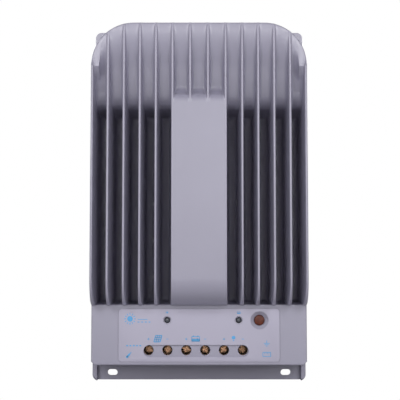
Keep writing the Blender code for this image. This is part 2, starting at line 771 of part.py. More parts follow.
def terminal_block():
    """The moulded block: a well, a shelf, a chamber, a wire mouth and a bar slot for each pole."""
    places = pole_places()
    ends = (places[0] - POLE_PITCH / 2, places[-1] + POLE_PITCH / 2)
    front = CAVITY_BOTTOM + GAP
    block = box("terminal_block", ends, (PART_SEAT, BLOCK_RISE), (front, -112.5), black_plastic())
    wells, chambers, mouths = bmesh.new(), bmesh.new(), bmesh.new()
    for x in places:
        add_turned(wells, [(2.8, CHAMBER_HIGH - 1.0), (2.8, HEAD_BOTTOM - GAP), (WELL_RADIUS, HEAD_BOTTOM - GAP),
                           (WELL_RADIUS, BLOCK_RISE + 1.0)], x, POLE_Z)
        half = CAGE_LENGTH / 2 + 0.4
        chamber = (CHAMBER_LOW, CHAMBER_HIGH)
        side = (x - CAGE_HALF - 0.4, x + CAGE_HALF + 0.4)
        add_box(chambers, side, chamber, (POLE_Z - half, POLE_Z + half))
        add_box(mouths, (x - 4.4, x + 4.4), (9.2, BAR_LOW + 0.2), (front - 1.0, POLE_Z))
        add_box(mouths, (x - 3.3, x + 3.3), (BAR_LOW - GAP, BAR_HIGH + GAP), (POLE_Z - 5.9, -111.0))
    for name, bm in (("block_wells", wells), ("block_chambers", chambers), ("block_mouths", mouths)):
        boolean(block, add(name, bm))
        block.modifiers[-1].use_self = True


def contact_bars():
    """The fixed copper bar in each chamber, with a tail down to the board behind the block."""
    finish = material("tinned_copper", (0.6, 0.55, 0.5), 0.3, 1.0)
    for i, x in enumerate(pole_places(), 1):
        bm = bmesh.new()
        add_box(bm, (x - 3.0, x + 3.0), (BAR_LOW, BAR_HIGH), (POLE_Z - 5.6, -110.2))
        bar = add(f"contact_bar_{i}", bm, finish)
        tail = box(f"bar_tail_{i}", (x - 2.0, x + 2.0), (PART_SEAT, BAR_HIGH - 0.4), (-111.6, -110.4))
        boolean(bar, tail, "UNION")


def clamp_cages():
    """Each cage is a square tube round the bar, with the screw's hole in its top wall."""
    for i, x in enumerate(pole_places(), 1):
        half = CAGE_LENGTH / 2
        cage = box(f"clamp_cage_{i}", (-CAGE_HALF, CAGE_HALF), (CAGE_LOW, CAGE_HIGH), (-half, half),
                   steel(), at=(x, POLE_Z))
        side = CAGE_HALF - 1.2
        inside = (CAGE_LOW + CAGE_WALL, CAGE_HIGH - CAGE_WALL - 0.5)
        window = box(f"cage_window_{i}", (-side, side), inside, (-half - 1.0, half + 1.0), at=(x, POLE_Z))
        hole = turned(f"cage_hole_{i}", [(2.7, inside[1] - 1.0), (2.7, CAGE_HIGH + 1.0)], at=(x, POLE_Z), sides=16)
        boolean(cage, window)
        boolean(cage, hole)


def terminal_screws():
    """Slotted cross-head screws, captive under the wells. Each turns about its own axis."""
    profile = [(2.35, BAR_HIGH + GAP), (2.35, HEAD_BOTTOM), (3.6, HEAD_BOTTOM), (3.6, HEAD_TOP - 0.4)]
    profile += [(3.2, HEAD_TOP)]
    high = HEAD_TOP + 1.0
    cuts = [((-4.0, 4.0), (HEAD_TOP - 1.1, high), (-0.5, 0.5)), ((-0.5, 0.5), (HEAD_TOP - 1.5, high), (-1.9, 1.9))]
    mesh = screw_mesh("terminal_screw", profile, brass(), cuts)
    place_copies("terminal_screw", mesh, [(x, POLE_Z) for x in pole_places()])


def build():
    clear_scene()
    heatsink_housing()
    back_cover()
    front_label()
    lamp("led_pv", LAMP_PV_X)
    lamp("led_battery", LAMP_BATTERY_X)
    button()
    terminal_block()
    contact_bars()
    clamp_cages()
    terminal_screws()
    main_board()
    indicator_board()
    board_header()
    capacitors()
    inductors()
    power_stage()
    control_chip()
    sockets()
    cover_screws()
    board_screws()
    indicator_screws()


build()
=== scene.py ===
import json
import math

import bmesh
import bpy
import numpy as np
from mathutils import Matrix, Vector


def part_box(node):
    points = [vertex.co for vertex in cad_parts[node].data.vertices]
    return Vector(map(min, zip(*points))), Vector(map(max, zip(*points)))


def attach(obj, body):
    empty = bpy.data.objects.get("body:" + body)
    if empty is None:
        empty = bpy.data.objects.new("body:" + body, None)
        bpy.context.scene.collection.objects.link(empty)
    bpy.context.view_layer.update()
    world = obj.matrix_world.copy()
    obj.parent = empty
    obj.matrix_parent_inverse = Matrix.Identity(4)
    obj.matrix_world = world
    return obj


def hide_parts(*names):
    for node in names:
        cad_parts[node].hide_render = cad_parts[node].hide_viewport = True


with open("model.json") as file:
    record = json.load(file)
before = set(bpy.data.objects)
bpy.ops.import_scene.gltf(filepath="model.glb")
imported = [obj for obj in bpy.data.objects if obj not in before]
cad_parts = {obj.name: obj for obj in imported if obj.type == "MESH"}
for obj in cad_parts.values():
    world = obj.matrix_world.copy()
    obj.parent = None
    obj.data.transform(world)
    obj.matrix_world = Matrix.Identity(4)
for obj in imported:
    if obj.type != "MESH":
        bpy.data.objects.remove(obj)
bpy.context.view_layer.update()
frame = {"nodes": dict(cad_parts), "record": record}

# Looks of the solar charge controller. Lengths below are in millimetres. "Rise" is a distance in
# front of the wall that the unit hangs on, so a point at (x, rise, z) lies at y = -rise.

MM = 0.001


def millimetres(node):
    """A CAD node's box as (x low, x high, rise low, rise high, z low, z high)."""
    low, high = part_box(node)
    return [v / MM for v in (low.x, high.x, -high.y, -low.y, low.z, high.z)]


HOUSING = millimetres("heatsink_housing")
HALF_WIDTH, DEPTH, HALF_HEIGHT = HOUSING[1], HOUSING[3], HOUSING[5]
LABEL = millimetres("front_label")
LABEL_FRONT = LABEL[3]
POLES = [
    sum(millimetres(f"terminal_screw_{i}")[0:2]) / 2 for i in range(1, 7)
]
SCREW = millimetres("terminal_screw_1")
POLE_Z = (SCREW[4] + SCREW[5]) / 2
BUTTON = millimetres("button_cap")
BUTTON_X, LAMP_Z = (BUTTON[0] + BUTTON[1]) / 2, (BUTTON[4] + BUTTON[5]) / 2
LAMPS = {
    name: sum(millimetres(name)[0:2]) / 2 for name in ("led_pv", "led_battery")
}

# The casting, as in the frame
SHELL_HALF, SHELL_TOP, SHELL_BOTTOM = 88.0, 145.4, -134.2
SHELL_CORNER, FOOT_CORNER, WALL_DRAFT = 34.7, 3.0, 0.0333
FIN_TIP, FIN_PITCH, OUTER_FIN, CENTRE_FIN = 1.8, 13.0, 74.1, 7.25
WALL_TIP, PLATE_HALF, FIN_DRAFT = 2.0, 22.5, 0.0393
CHANNEL_RISE, RAMP_RISE, BOX_RISE = 19.0, 48.0, 41.0
ROUND_RADIUS, ROUND_START = DEPTH - BOX_RISE, -63.4
ROUND_END = ROUND_START - ROUND_RADIUS
RAMP_DROP = 6.2
RAMP_END = SHELL_TOP - RAMP_DROP
RAMP_MIDDLE = (112.0, 52.8)  # z, rise
FOLD, FOOT_FOLD = 90.0, -128.0
CROWN_DEPTH, CROWN_WIDTH = 2.4, 12.0
RIM = 1.3
FLANGE_THICK, FLANGE_CORNER, LIP_RISE, LIP_WIDTH = 3.0, 5.0, 10.0, 4.0
COVER_SCREWS = [(side * 78.5, z) for z in (84.0, 0.0, -82.0) for side in (-1, 1)]


# ---------------------------------------------------------------- mesh helpers


def point(x, rise, z):
    return Vector((x * MM, -rise * MM, z * MM))


def arc(x, z, radius, start, end, steps):
    turns = [math.radians(start + (end - start) * i / steps) for i in range(steps + 1)]
    return [(x + radius * math.cos(t), z + radius * math.sin(t)) for t in turns]


def circle(x, z, radius, steps=48):
    return arc(x, z, radius, 0, 360 * (steps - 1) / steps, steps - 1)


def rounded_outline(half, bottom, top, foot, head, steps=8, middle=0.0):
    points = arc(middle + half - head, top - head, head, 0, 90, steps)
    points += arc(middle - half + head, top - head, head, 90, 180, steps)
    points += arc(middle - half + foot, bottom + foot, foot, 180, 270, steps)
    points += arc(middle + half - foot, bottom + foot, foot, 270, 360, steps)
    return points


def slot_outline(left, right, bottom, top, steps=16):
    radius, middle = (top - bottom) / 2, (top + bottom) / 2
    ends = arc(right - radius, middle, radius, -90, 90, steps)
    return ends + arc(left + radius, middle, radius, 90, 270, steps)


def link(name, bm, smooth=35.0):
    bmesh.ops.recalc_face_normals(bm, faces=bm.faces)
    mesh = bpy.data.meshes.new(name)
    bm.to_mesh(mesh)
    bm.free()
    if smooth:
        mesh.shade_smooth()
        mesh.set_sharp_from_angle(angle=math.radians(smooth))
    obj = bpy.data.objects.new(name, mesh)
    bpy.context.scene.collection.objects.link(obj)
    return obj


def add_loft(bm, rings, closed=True):
    loops = [[bm.verts.new(p) for p in ring] for ring in rings]
    count = len(loops[0])
    for lower, upper in zip(loops, loops[1:]):
        for i in range(count):
            j = (i + 1) % count
            bm.faces.new((lower[i], lower[j], upper[j], upper[i]))
    if closed:
        bm.faces.new(loops[0][::-1])
        bm.faces.new(loops[-1])


def add_prism(bm, outline, low, high, edge=0.0):
    """A prism between two rises. Edge rounds its front edge by pulling the outline in."""
    rings = [[point(x, low, z) for x, z in outline], [point(x, high - edge, z) for x, z in outline]]
    if edge:
        rings.append([point(x, high - edge * 0.3, z) for x, z in inset(outline, edge * 0.3)])
        rings.append([point(x, high, z) for x, z in inset(outline, edge)])
    add_loft(bm, rings)


def inset(outline, by):
    """The outline moved inwards, corner by corner, along its own normals."""
    pts = np.array(outline)
    before, after = np.roll(pts, 1, 0), np.roll(pts, -1, 0)
    along = after - before
    along /= np.linalg.norm(along, axis=1)[:, None] + 1e-9
    area = np.sum(pts[:, 0] * after[:, 1] - after[:, 0] * pts[:, 1])
    inward = np.stack([-along[:, 1], along[:, 0]], 1) * (1 if area > 0 else -1)
    return [tuple(p) for p in pts + inward * by]


def add_turned(bm, profile, x=0.0, z=0.0, sides=48):
    rings = []
    for radius, rise in profile:
        rings.append([point(px, rise, pz) for px, pz in circle(x, z, radius, sides)])
    add_loft(bm, rings)


def add_box(bm, x, rise, z):
    size = [(b - a) * MM for a, b in (x, rise, z)]
    middle = point((x[0] + x[1]) / 2, (rise[0] + rise[1]) / 2, (z[0] + z[1]) / 2)
    matrix = Matrix.Translation(middle) @ Matrix.Diagonal((*size, 1.0))
    bmesh.ops.create_cube(bm, size=1.0, matrix=matrix)


def solid(name, fill, *args, **kwargs):
    """An object holding one shape that an add_ function makes."""
    bm = bmesh.new()
    fill(bm, *args, **kwargs)
    return link(name, bm, smooth=0)


def combine(target, tool, operation, smooth=35.0, self_cut=False):
    """Applies one exact Boolean step and removes the tool."""
    step = target.modifiers.new("cut", "BOOLEAN")
    step.operation, step.object, step.solver, step.use_self = operation, tool, "EXACT", self_cut
    view = bpy.context.evaluated_depsgraph_get()
    mesh = bpy.data.meshes.new_from_object(target.evaluated_get(view))
    target.modifiers.clear()
    target.data = mesh
    mesh.shade_smooth()
    mesh.set_sharp_from_angle(angle=math.radians(smooth))
    bpy.data.objects.remove(tool, do_unlink=True)
    return target


def fillet_path(corners, step=2.0):
    """A (z, rise) path through corner points, each given as (z, rise, radius), with its corners rounded."""
    path = [corners[0][:2]]
    for (az, ar, _), (bz, br, radius), (cz, cr, _) in zip(corners, corners[1:], corners[2:]):
        a, b, c = (np.array(p, float) for p in ((az, ar), (bz, br), (cz, cr)))
        u, v = (a - b) / np.linalg.norm(a - b), (c - b) / np.linalg.norm(c - b)
        half = math.acos(max(-1.0, min(1.0, float(u @ v)))) / 2
        back = radius / math.tan(half)
        middle = b + (u + v) / np.linalg.norm(u + v) * radius / math.sin(half)
        start, end = b + u * back - middle, b + v * back - middle
        sweep = math.pi - 2 * half
        count = max(3, int(math.degrees(sweep) / 7.5))
        for i in range(count + 1):
            t = i / count
            mix = start * math.sin((1 - t) * sweep) + end * math.sin(t * sweep)
            path.append(tuple(middle + mix / math.sin(sweep)))
    path.append(corners[-1][:2])
    return path


# ---------------------------------------------------------------- the casting


def tip_path():
    """How far forward the fins, the walls and the box face stand, from the foot up."""
    rounding = []
    for i in range(25):
        turn = math.radians(90 * (1 - i / 24))
        z = ROUND_START - ROUND_RADIUS * math.sin(turn)
        rounding.append((z, BOX_RISE + ROUND_RADIUS * math.cos(turn)))
    return [(-200.0, BOX_RISE), *rounding, (200.0, DEPTH)]


def open_floor_path():
    """The floor of the channels beside the centre plate."""
    corners = [(-150.0, BOX_RISE, 0), (-85.2, BOX_RISE, 1.4), (-83.4, CHANNEL_RISE, 3.0)]
    corners += [(73.0, CHANNEL_RISE, 4.0), (78.5, RAMP_RISE - 1.0, 14.0), (*RAMP_MIDDLE, 50.0)]
    return fillet_path(corners + [(RAMP_END, DEPTH, 60.0), (200.0, DEPTH, 0)])


def plate_floor_path():
    """The floor of the channels above the centre plate, which ends in a soft step up to the plate."""
    corners = [(-40.0, DEPTH, 0), (84.0, DEPTH, 8.0), (91.0, RAMP_RISE + 1.2, 6.0), (*RAMP_MIDDLE, 40.0)]
    return fillet_path(corners + [(RAMP_END, DEPTH, 60.0), (200.0, DEPTH, 0)])


def follow(path, z):
    zs, rises = zip(*path)
    return float(np.interp(z, zs, rises))


TIPS, OPEN_FLOOR, PLATE_FLOOR = tip_path(), open_floor_path(), plate_floor_path()


def row_heights():
    """Every height at which the front changes, close together only where it bends."""
    places = [z for path in (TIPS, OPEN_FLOOR, PLATE_FLOOR) for z, _ in path]
    foot, head = SHELL_BOTTOM - 0.75 + RIM, SHELL_TOP - RIM
    places += [foot, foot + 0.5, foot + 1.1, foot + 2.0, foot + 3.2, FOOT_FOLD, -110.0, FOLD, head]
    places += list(np.linspace(-60.0, 70.0, 8)) + [RAMP_END + 1.5]
    kept = []
    for z in sorted(p for p in places if foot <= p <= head):
        if not kept or z - kept[-1] > 0.12:
            kept.append(z)
    return kept


def channel_edges():
    right = [PLATE_HALF - FIN_TIP / 2, CENTRE_FIN] + [OUTER_FIN - FIN_PITCH * i for i in range(4)]
    fins = sorted(right + [-x for x in right])
    starts = [-SHELL_HALF + WALL_TIP] + [x + FIN_TIP / 2 for x in fins]
    ends = [x - FIN_TIP / 2 for x in fins] + [SHELL_HALF - WALL_TIP]
    return list(zip(starts, ends))


TIP_ROUND, ROOT_ROUND = 0.6, 2.6
TIP_STEPS, ROOT_STEPS, FLOOR_STEPS = (3, 5, 4)


def channel_section(start, end, tip, floor):
    """The (x, rise) points across one channel: rounded tip, leaning flank, rounded root, floor and back."""
    depth = tip - floor
    tip_fall, root_climb = min(TIP_ROUND, 0.4 * depth), min(ROOT_ROUND, 0.5 * depth)
    edge = FIN_DRAFT * (DEPTH - tip)
    root = FIN_DRAFT * (DEPTH - min(floor, tip - 6.0))
    side = []
    for i in range(TIP_STEPS + 1):
        turn = math.radians(90 * i / TIP_STEPS)
        side.append((edge - TIP_ROUND * (1 - math.sin(turn)), tip - tip_fall * (1 - math.cos(turn))))
    for i in range(ROOT_STEPS + 1):
        turn = math.radians(90 * i / ROOT_STEPS)
        side.append((root + ROOT_ROUND * (1 - math.cos(turn)), floor + root_climb * (1 - math.sin(turn))))
    left = [(start + dx, rise) for dx, rise in side]
    right = [(end - dx, rise) for dx, rise in reversed(side)]
    low, high = left[-1][0], right[0][0]
    middle = [(low + (high - low) * i / FLOOR_STEPS, floor) for i in range(1, FLOOR_STEPS)]
    return left + middle + right


def head_at(x, shrink=0.0):
    """The height of the shell's outline over a place on the x axis, with the outline shrunk."""
    radius = SHELL_CORNER - shrink
    beyond = min(max(0.0, abs(x) - (SHELL_HALF - SHELL_CORNER)), radius)
    return SHELL_TOP - SHELL_CORNER + math.sqrt(radius**2 - beyond**2)


def foot_at(x, half):
    radius = FOOT_CORNER - RIM
    beyond = min(max(0.0, abs(x) - (half - radius)), radius)
    return SHELL_BOTTOM - 0.75 + RIM + radius - math.sqrt(radius**2 - beyond**2)


def folded(x, z, half):
    """A height near the head or foot, moved so that the grid fills the shell's round corners."""
    head, foot = SHELL_TOP - RIM, SHELL_BOTTOM - 0.75 + RIM
    if z > FOLD:
        top = head_at(x, RIM)
        knee = min(head_at(x, RAMP_DROP), top - 1.0)
        if z <= RAMP_END:
            return FOLD + (z - FOLD) / (RAMP_END - FOLD) * (knee - FOLD)
        return knee + (z - RAMP_END) / (head - RAMP_END) * (top - knee)
    if z < FOOT_FOLD:
        return FOOT_FOLD + (z - FOOT_FOLD) / (foot - FOOT_FOLD) * (foot_at(x, half) - FOOT_FOLD)
    return z


def crown(x, z):
    """How far the front falls away as it nears the shell's top edge."""
    over = max(0.0, abs(x) - (SHELL_HALF - SHELL_CORNER))
    above = max(0.0, z - (SHELL_TOP - SHELL_CORNER))
    inside = SHELL_CORNER - math.hypot(over, above) if above else CROWN_WIDTH
    return CROWN_DEPTH * max(0.0, 1 - inside / CROWN_WIDTH) ** 2


def front_row(z):
    tip, plate_limit = follow(TIPS, z), PLATE_HALF + 0.01
    half = SHELL_HALF + WALL_DRAFT * (DEPTH - tip) - RIM
    section = [(-half, tip)]
    for start, end in channel_edges():
        inner = max(abs(start), abs(end)) < plate_limit
        floor = follow(PLATE_FLOOR if inner else OPEN_FLOOR, z)
        section += channel_section(start, end, tip, min(floor, tip))
    section.append((half, tip))
    placed = [(x, rise, folded(x, z, half)) for x, rise in section]
    return [(x, rise - crown(x, height), height) for x, rise, height in placed]


def outward(x, z, kind, half):
    """The direction, in (x, z), in which a rim point faces."""
    head_middle = SHELL_TOP - SHELL_CORNER
    side_middle = SHELL_HALF - SHELL_CORNER
    sign = 1 if x > 0 else -1
    if z > head_middle - 0.05 and abs(x) > side_middle:
        away = Vector((x - sign * side_middle, z - head_middle))
    elif kind == "side":
        foot_middle = SHELL_BOTTOM - 0.75 + FOOT_CORNER
        corner = half + RIM - FOOT_CORNER
        away = Vector((x - sign * corner, min(0.0, z - foot_middle)))
    elif kind == "foot":
        corner = half + RIM - FOOT_CORNER
        reach = max(0.0, abs(x) - corner) * sign
        away = Vector((reach, z - (SHELL_BOTTOM - 0.75 + FOOT_CORNER)))
    else:
        away = Vector((0.0, 1.0))
    return away.normalized()


def rim_point(x, rise, z, away, turn):
    """A point on the rounded front edge, turned from facing front (0) to facing out (90 degrees)."""
    sink, reach = RIM * (1 - math.cos(turn)), RIM * math.sin(turn)
    if ROUND_END <= z <= ROUND_START and abs(away.x) > 0.9:
        share = (ROUND_RADIUS - sink) / ROUND_RADIUS
        z, rise = ROUND_START + (z - ROUND_START) * share, BOX_RISE + (rise - BOX_RISE) * share
    else:
        rise -= sink
    return x + away.x * reach, rise, z + away.y * reach


def casting_skin():
    """The closed outer form: the gridded front, the rounded front edge and the flared walls."""
    rows = [front_row(z) for z in row_heights()]
    bm = bmesh.new()
    grid = [[bm.verts.new(point(*p)) for p in row] for row in rows]
    for lower, upper in zip(grid, grid[1:]):
        for i in range(len(lower) - 1):
            bm.faces.new((lower[i], lower[i + 1], upper[i + 1], upper[i]))
    last = len(rows[0]) - 1
    rim = [(0, i, "foot") for i in range(last + 1)]
    rim += [(j, last, "side") for j in range(1, len(rows))]
    rim += [(len(rows) - 1, i, "head") for i in range(last - 1, -1, -1)]
    rim += [(j, 0, "side") for j in range(len(rows) - 2, 0, -1)]
    places, faces_out = [], []
    for j, i, kind in rim:
        x, rise, z = rows[j][i]
        half = rows[j][last][0]
        places.append((x, rise, z))
        faces_out.append(outward(x, z, kind, half))
    rings = []
    for turn in (18, 36, 54, 72, 90):
        turn = math.radians(turn)
        rings.append([rim_point(*p, away, turn) for p, away in zip(places, faces_out)])
    brow = rings[-1]

    def wall_ring(rise, extra=0.0):
        ring = []
        for (x, top, z), away in zip(brow, faces_out):
            grow = WALL_DRAFT * (top - rise) + extra
            ring.append((x + away.x * grow, rise, z + away.y * grow))
        return ring

    flare = 0.7
    rings.append(wall_ring(18.0))
    rings.append(wall_ring(FLANGE_THICK + flare))
    for turn in (30, 60, 85):
        turn = math.radians(turn)
        rise = FLANGE_THICK + flare * (1 - math.sin(turn)) - 0.02
        rings.append(wall_ring(rise, flare * (1 - math.cos(turn))))
    rings.append(wall_ring(0.6, flare))
    before = [grid[j][i] for j, i, _ in rim]
    count = len(rim)
    for ring in rings:
        loop = [bm.verts.new(point(*p)) for p in ring]
        for i in range(count):
            j = (i + 1) % count
            bm.faces.new((before[i], loop[i], loop[j], before[j]))
        before = loop
    bm.faces.new(before)
    return link("heatsink_casting", bm)


def flange_form():
    """The base flange with its rounded edge, and the lips at its two lower ends."""
    outline = rounded_outline(HALF_WIDTH, -HALF_HEIGHT, HALF_HEIGHT, FLANGE_CORNER, FLANGE_CORNER)
    flange = solid("flange", add_prism, outline, 0.0, FLANGE_THICK, edge=0.6)
    start = -math.degrees(math.acos((FLANGE_CORNER - LIP_WIDTH) / FLANGE_CORNER))
    lip = arc(HALF_WIDTH - FLANGE_CORNER, -HALF_HEIGHT + FLANGE_CORNER, FLANGE_CORNER, start, 0, 8)
    lip += [(HALF_WIDTH, SHELL_BOTTOM + 2.0), (HALF_WIDTH - LIP_WIDTH, SHELL_BOTTOM + 2.0)]
    for side in (-1, 1):
        mirrored = [(side * x, z) for x, z in lip]
        combine(flange, solid("lip", add_prism, mirrored, 1.0, LIP_RISE, edge=0.7), "UNION")
    return flange


PAD_PLACES = [(-39.7, z) for z in (-0.9, -32.1, -62.5)] + [(32.7, z) for z in (-0.9, -16.4, -45.0)]


def floor_pads():
    """The small round pads that stand on the floors of two channels."""
    bm = bmesh.new()
    low, high = CHANNEL_RISE - 1.0, CHANNEL_RISE + 1.2
    for x, z in PAD_PLACES:
        add_turned(bm, [(2.2, low), (2.2, high - 0.3), (1.95, high)], x, z, 24)
    return link("pads", bm, smooth=0)


CAVITY_INSET, CAVITY_BOTTOM, CAVITY_RISE = 5.0, -131.0, 15.0
POCKET_INSET, POCKET_START = 8.0, 11.0
TOP_POCKET_BOTTOM, TOP_POCKET_RISE = 92.0, 44.0
CENTRE_POCKET = ((-18.0, 18.0), (POCKET_START, 59.0), (-64.0, 76.0))
WIRING_POCKET = ((-84.0, 84.0), (POCKET_START, 37.5), (CAVITY_BOTTOM, -89.5))
REBATE_INSET, REBATE_RISE = 1.0, 1.8
BOARD_POSTS = [(x, z) for x in (-66.0, 66.0) for z in (-70.0, 70.0)]


def inside_form():
    """Everything hollow behind the front wall: the cavity, its pockets and the cover's rebate."""
    def shell_line(grow, bottom):
        corner = SHELL_CORNER + grow
        return rounded_outline(SHELL_HALF + grow, bottom, SHELL_TOP + grow, FOOT_CORNER, corner, 12)

    cavity = shell_line(-CAVITY_INSET, CAVITY_BOTTOM)
    hollow = solid("hollow", add_prism, cavity, -1.0, CAVITY_RISE)
    posts = bmesh.new()
    for x, z in COVER_SCREWS:
        add_turned(posts, [(4.5, 1.8), (4.5, 18.0)], x, z, 32)
    for x, z in BOARD_POSTS:
        add_turned(posts, [(3.5, 6.3), (3.5, 18.0)], x, z, 24)
    combine(hollow, link("posts", posts, smooth=0), "DIFFERENCE")
    half, head = SHELL_HALF - POCKET_INSET, SHELL_TOP - POCKET_INSET
    top = rounded_outline(half, TOP_POCKET_BOTTOM, head, 3.0, SHELL_CORNER - POCKET_INSET)
    combine(hollow, solid("top", add_prism, top, POCKET_START, TOP_POCKET_RISE), "UNION")
    combine(hollow, solid("middle", add_box, *CENTRE_POCKET), "UNION")
    combine(hollow, solid("low", add_box, *WIRING_POCKET), "UNION")
    rebate = shell_line(-REBATE_INSET, SHELL_BOTTOM)
    combine(hollow, solid("rebate", add_prism, rebate, -1.0, REBATE_RISE), "UNION")
    return hollow


STRIP = (-45.7, 40.9, -128.3, -118.3)
STRIP_RISE, DISH_RADIUS, DISH_BALL = 39.7, 7.4, 9.64
WELL_RADIUS, LAMP_MOUTH, LAMP_THROAT = 4.1, 3.3, 2.55


def face_form():
    """The recesses and holes of the box face: label, terminal strip, button dish, lamps and wells."""
    label = rounded_outline(LABEL[1] + 0.3, LABEL[4] - 0.3, LABEL[5] + 0.3, 3.3, 3.3)
    face = solid("face", add_prism, label, 40.5, BOX_RISE + 2.0)
    strip = bmesh.new()
    rings = []
    for extra, rise in ((0.0, STRIP_RISE), (0.0, 40.6), (0.0, BOX_RISE + 1.5)):
        outline = slot_outline(STRIP[0] - extra, STRIP[1] + extra, STRIP[2] - extra, STRIP[3] + extra)
        rings.append([point(x, rise, z) for x, z in outline])
    add_loft(strip, rings)
    combine(face, link("strip", strip, smooth=0), "UNION")
    drop = math.sqrt(DISH_BALL**2 - DISH_RADIUS**2)
    ball = [(0.02, BOX_RISE + drop - DISH_BALL)]
    for i in range(1, 13):
        turn = math.radians(60 * i / 12)
        ball.append((DISH_BALL * math.sin(turn), BOX_RISE + drop - DISH_BALL * math.cos(turn)))
    ball.append((ball[-1][0], BOX_RISE + 1.2))
    combine(face, solid("dish", add_turned, ball, BUTTON_X, LAMP_Z, 72), "UNION")
    holes = bmesh.new()
    for x in POLES:
        mouth = WELL_RADIUS + 0.35
        add_turned(holes, [(WELL_RADIUS, 36.0), (WELL_RADIUS, STRIP_RISE - 0.35), (mouth, STRIP_RISE + 0.01),
                           (mouth, 40.2)], x, POLE_Z)
    for x in LAMPS.values():
        bevel = [(LAMP_THROAT, 36.0), (LAMP_THROAT, 40.0), (LAMP_MOUTH, 40.5), (LAMP_MOUTH, 41.0)]
        add_turned(holes, bevel, x, LAMP_Z)
    add_turned(holes, [(4.45, 36.0), (4.45, 40.8)], BUTTON_X, LAMP_Z)
    combine(face, link("holes", holes, smooth=0), "UNION")
    return face


WIRE_ENTRY = (5.2, 8.2, 15.8)  # half width, low rise, high rise
DATA_SOCKET, PROBE_SOCKET = (55.6, 7.0, 7.2, 18.8), (-57.8, 4.6, 7.2, 14.8)  # x, then the same
SLOT_PLACES = ((74.45, -145.1), (80.0, 144.2))
SLOT_HALF_LENGTH, SLOT_HALF_WIDTH = 4.3, 2.65


def foot_form():
    """The wire entries and socket openings in the bottom wall, the mounting slots and the screw holes."""
    bm = bmesh.new()
    wall = (SHELL_BOTTOM - 6.0, -130.0)
    for x, half, low, high in [(x, *WIRE_ENTRY) for x in POLES] + [DATA_SOCKET, PROBE_SOCKET]:
        outline = rounded_outline(half, low, high, 0.8, 0.8, 4, x)
        add_loft(bm, [[point(px, pr, z) for px, pr in outline] for z in wall])
    for x, z in SLOT_PLACES:
        for middle in (-x, x):
            ends = (middle - SLOT_HALF_LENGTH, middle + SLOT_HALF_LENGTH)
            outline = slot_outline(*ends, z - SLOT_HALF_WIDTH, z + SLOT_HALF_WIDTH)
            add_prism(bm, outline, -1.0, FLANGE_THICK + 2.0)
    for x, z in COVER_SCREWS:
        add_turned(bm, [(1.75, 1.0), (1.75, 11.0)], x, z, 24)
    return link("foot", bm, smooth=0)


def casting():
    """The whole casting: its skin joined to flange and pads, then cut from behind, in front and below."""
    body = casting_skin()
    combine(body, flange_form(), "UNION")
    combine(body, floor_pads(), "UNION")
    combine(body, inside_form(), "DIFFERENCE")
    combine(body, face_form(), "DIFFERENCE")
    combine(body, foot_form(), "DIFFERENCE")
    weigh = body.modifiers.new("even_normals", "WEIGHTED_NORMAL")
    weigh.mode, weigh.weight, weigh.keep_sharp = "FACE_AREA", 50, True
    return body


# ---------------------------------------------------------------- materials


class Graph:
    """A material's node tree, with short calls for the nodes that the finishes use."""

    def __init__(self, name):
        self.material = bpy.data.materials.new(name)
        self.material.use_nodes = True
        self.nodes, self.links = self.material.node_tree.nodes, self.material.node_tree.links
        self.shader = self.nodes["Principled BSDF"]

    def put(self, socket, value):
        if isinstance(value, bpy.types.NodeSocket):
            self.links.new(value, socket)
        else:
            socket.default_value = value

    def set(self, **values):
        for name, value in values.items():
            self.put(self.shader.inputs[name.replace("_", " ")], value)

    def place(self, stretch=(1.0, 1.0, 1.0)):
        coords = self.nodes.new("ShaderNodeTexCoord")
        mapping = self.nodes.new("ShaderNodeMapping")
        mapping.inputs["Scale"].default_value = stretch
        self.links.new(coords.outputs["Object"], mapping.inputs["Vector"])
        return mapping.outputs["Vector"]

    def noise(self, scale, detail=2.0, stretch=(1.0, 1.0, 1.0)):
        node = self.nodes.new("ShaderNodeTexNoise")
        node.inputs["Scale"].default_value = scale
        node.inputs["Detail"].default_value = detail
        self.links.new(self.place(stretch), node.inputs["Vector"])
        return node.outputs["Fac"]

    def ramp(self, value, low, high, start=0.3, end=0.7):
        """Turns a value into one of two colours, or a mix."""
        node = self.nodes.new("ShaderNodeValToRGB")
        node.color_ramp.elements[0].position, node.color_ramp.elements[1].position = start, end
        node.color_ramp.elements[0].color = (*low, 1.0)
        node.color_ramp.elements[1].color = (*high, 1.0)
        self.links.new(value, node.inputs["Fac"])
        return node.outputs["Color"]

    def span(self, value, low, high, start=0.3, end=0.7):
        node = self.nodes.new("ShaderNodeMapRange")
        for name, number in (("From Min", start), ("From Max", end), ("To Min", low), ("To Max", high)):
            node.inputs[name].default_value = number
        self.links.new(value, node.inputs["Value"])
        return node.outputs["Result"]

    def bump(self, height, strength, distance, normal=None):
        node = self.nodes.new("ShaderNodeBump")
        node.inputs["Strength"].default_value = strength
        node.inputs["Distance"].default_value = distance
        self.links.new(height, node.inputs["Height"])
        if normal is not None:
            self.links.new(normal, node.inputs["Normal"])
        return node.outputs["Normal"]


def shades(colour, spread):
    return [c * (1 - spread) for c in colour], [min(1.0, c * (1 + spread)) for c in colour]


def powder_coat(name, colour):
    """Satin powder coat on a casting: fine orange peel, faint shade drift and uneven gloss."""
    g = Graph(name)
    drift = g.noise(14.0, 3.0)
    g.set(Base_Color=g.ramp(drift, *shades(colour, 0.035)))
    g.set(Roughness=g.span(g.noise(160.0, 3.0), 0.34, 0.40))
    peel = g.bump(g.noise(750.0, 2.0), 0.12, 0.0003)
    g.set(Normal=g.bump(g.noise(2600.0, 2.0), 0.10, 0.00012, peel))
    g.shader.inputs["Specular IOR Level"].default_value = 0.9
    return g.material


